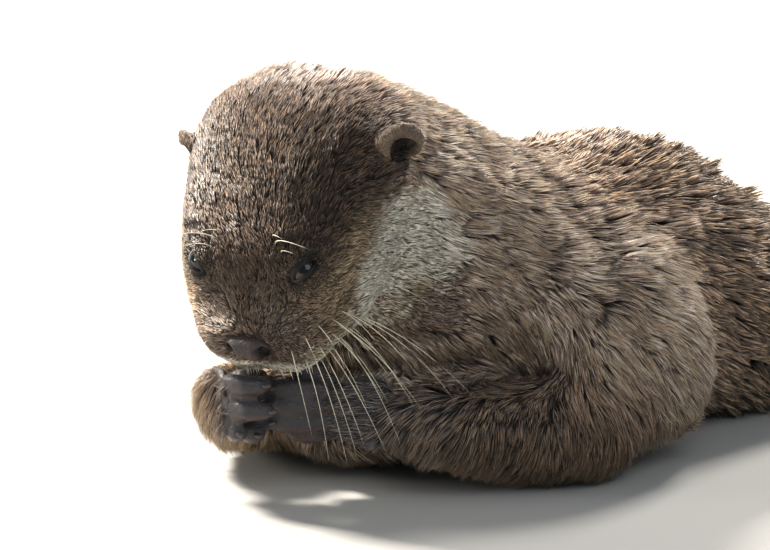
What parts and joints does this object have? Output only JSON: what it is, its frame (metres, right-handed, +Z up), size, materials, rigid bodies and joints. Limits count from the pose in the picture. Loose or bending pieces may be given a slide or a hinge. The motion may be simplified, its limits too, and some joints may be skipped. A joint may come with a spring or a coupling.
{
  "type": "small-clawed otter",
  "caption": "Small-clawed otter crouched on its forearms with bowed head, hands clasped under the muzzle and tail laid along the floor.",
  "frame": {"origin": "middle of the bounding box at floor level", "axes": "+Z up, the tail runs towards +Y and the face looks towards -Y, the otter's own left is +X"},
  "size_m": [0.1898, 0.5778, 0.1473],
  "materials": {
    "coat": "short dense brown fur, pale on cheeks and throat",
    "bare_skin": "naked wrinkled grey-brown skin, slightly moist",
    "nose": "pebbled dark grey nose pad with a pinkish lower edge",
    "eye": "wet dark brown eye",
    "claw": "short blunt pale horn"
  },
  "bodies": {
    "root": {"eye_left": "eye", "ear_left": "coat", "eye_right": "eye", "ear_right": "coat", "nose": "nose", "head": "coat", "breast": "coat", "neck": "coat", "chest": "coat", "loin": "coat", "rump": "coat", "tail_base": "coat", "tail_mid": "coat", "tail_tip": "coat", "upper_arm_left": "coat", "forearm_left": "coat", "upper_arm_right": "coat", "forearm_right": "coat", "claw_hand_right_1": "claw", "claw_hand_right_2": "claw", "claw_hand_right_3": "claw", "claw_hand_right_4": "claw", "claw_hand_right_5": "claw", "hand_right": "bare_skin", "claw_hand_left_1": "claw", "claw_hand_left_2": "claw", "claw_hand_left_3": "claw", "claw_hand_left_4": "claw", "claw_hand_left_5": "claw", "hand_left": "bare_skin", "thigh_left": "coat", "shank_left": "coat", "claw_foot_left_1": "claw", "claw_foot_left_2": "claw", "claw_foot_left_3": "claw", "claw_foot_left_4": "claw", "claw_foot_left_5": "claw", "foot_left": "bare_skin", "thigh_right": "coat", "shank_right": "coat", "claw_foot_right_1": "claw", "claw_foot_right_2": "claw", "claw_foot_right_3": "claw", "claw_foot_right_4": "claw", "claw_foot_right_5": "claw", "foot_right": "bare_skin"}
  },
  "joints": []
}
